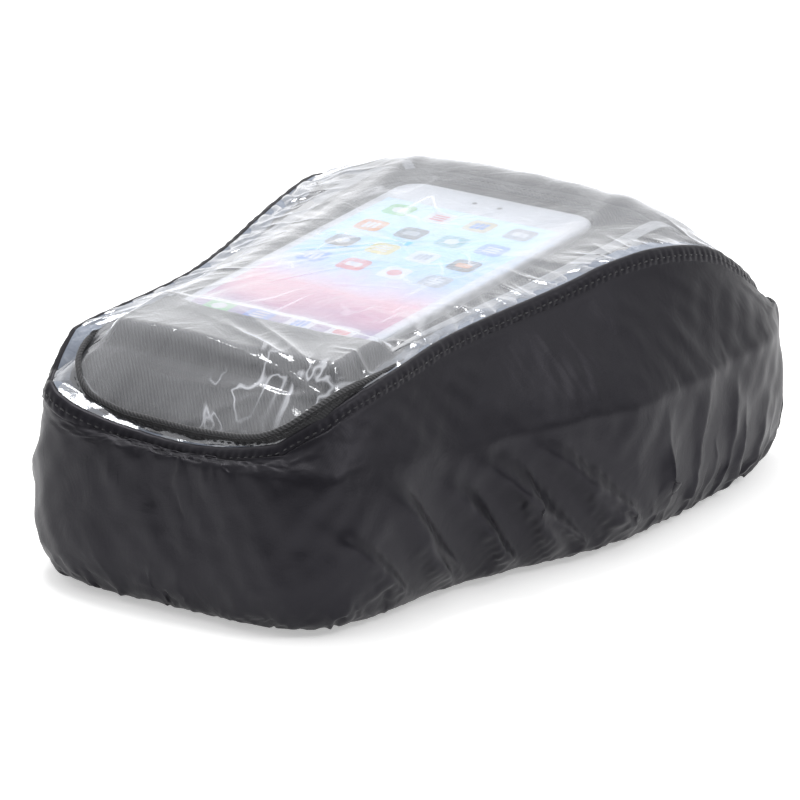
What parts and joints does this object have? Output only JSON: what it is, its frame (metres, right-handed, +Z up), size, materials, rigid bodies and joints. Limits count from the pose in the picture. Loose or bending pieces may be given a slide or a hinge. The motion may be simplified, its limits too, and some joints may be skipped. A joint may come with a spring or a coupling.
{
  "type": "motorcycle tank bag",
  "caption": "Small zipped tank bag with a phone pocket in its hinged lid, a ring-lock base and a pull-on rain cover with a clear window.",
  "frame": {"origin": "on the floor under the bag, on its middle plane, at the middle of its length", "axes": "+Y to the handlebar end, +X to the rider's right, +Z up"},
  "size_m": [0.186, 0.252, 0.0949],
  "materials": {
    "rubber_pad": "matt anti-slip",
    "board": "matt",
    "plate": "brushed",
    "lock_plastic": "fine texture",
    "screw_steel": "bright",
    "webbing": "woven webbing",
    "bag_fabric": "coated twill",
    "lining": "smooth lining",
    "zip_tape": "woven tape",
    "zip_coil": "moulded nylon",
    "twill": "diagonal twill",
    "foam": "padding",
    "slider_metal": "dark lacquer",
    "pocket_film": "clear film",
    "insert_white": "gloss white",
    "insert_screen": "pale blue picture",
    "pale_trim": "reflective tape",
    "cover_nylon": "thin satin nylon",
    "cover_film": "clear soft film",
    "seam_tape": "translucent tape",
    "elastic": "woven elastic"
  },
  "bodies": {
    "bag": {"base_pad": "rubber_pad", "base_board": "board", "backing_plate": "plate", "ring_adapter": "lock_plastic", "ring_screws": "screw_steel", "tray_wall": "bag_fabric", "tray_lining": "lining", "zip_tape_lower": "zip_tape", "zip_coil_lower": "zip_coil", "carry_handle": "webbing", "cable_grommet": "rubber_pad", "zip_slider_left": "slider_metal", "zip_slider_right": "slider_metal", "hinge_binding": "zip_tape"},
    "latch": {"ring_latch": "lock_plastic", "release_strap": "webbing"},
    "lid": {"lid_wall": "bag_fabric", "lid_top_panel": "twill", "lid_foam": "foam", "lid_liner": "lining", "zip_tape_upper": "zip_tape", "zip_coil_upper": "zip_coil", "pocket_window": "pocket_film", "phone_insert": "insert_white", "phone_screen": "insert_screen", "trim_left": "pale_trim", "trim_right": "pale_trim"},
    "left_puller": {"zip_puller_left": "slider_metal"},
    "right_puller": {"zip_puller_right": "slider_metal"},
    "rain_cover": {"cover_skirt": "cover_nylon", "cover_edge_hem": "cover_nylon", "cover_window": "cover_film", "cover_seam_tape": "seam_tape", "cover_hem_elastic": "elastic"}
  },
  "joints": [
    {"name": "cover_lift", "type": "slide", "parent": "bag", "child": "rain_cover", "axis": [0, 0, 1], "range_m": [0, 0.36]},
    {"name": "lid_hinge", "type": "hinge", "parent": "bag", "child": "lid", "pos_m": [0, 0.121, 0.05], "axis": [-1, 0, 0], "range_deg": [0, 55]},
    {"name": "left_puller_swing", "type": "hinge", "parent": "bag", "child": "left_puller", "pos_m": [-0.014, -0.1203, 0.05], "axis": [-1, 0, 0], "range_deg": [0, 80]},
    {"name": "right_puller_swing", "type": "hinge", "parent": "bag", "child": "right_puller", "pos_m": [0.014, -0.1203, 0.05], "axis": [-1, 0, 0], "range_deg": [0, 80]},
    {"name": "latch_slide", "type": "slide", "parent": "bag", "child": "latch", "axis": [0, -1, 0], "range_m": [0, 0.005], "stiffness_N_per_m": 400}
  ],
  "couplings": [
    {"joint": "lid_hinge", "follows": "cover_lift", "rad_per_m": 2.665},
    {"joint": "left_puller_swing", "follows": "cover_lift", "rad_per_m": 3.878},
    {"joint": "right_puller_swing", "follows": "cover_lift", "rad_per_m": 3.878}
  ]
}
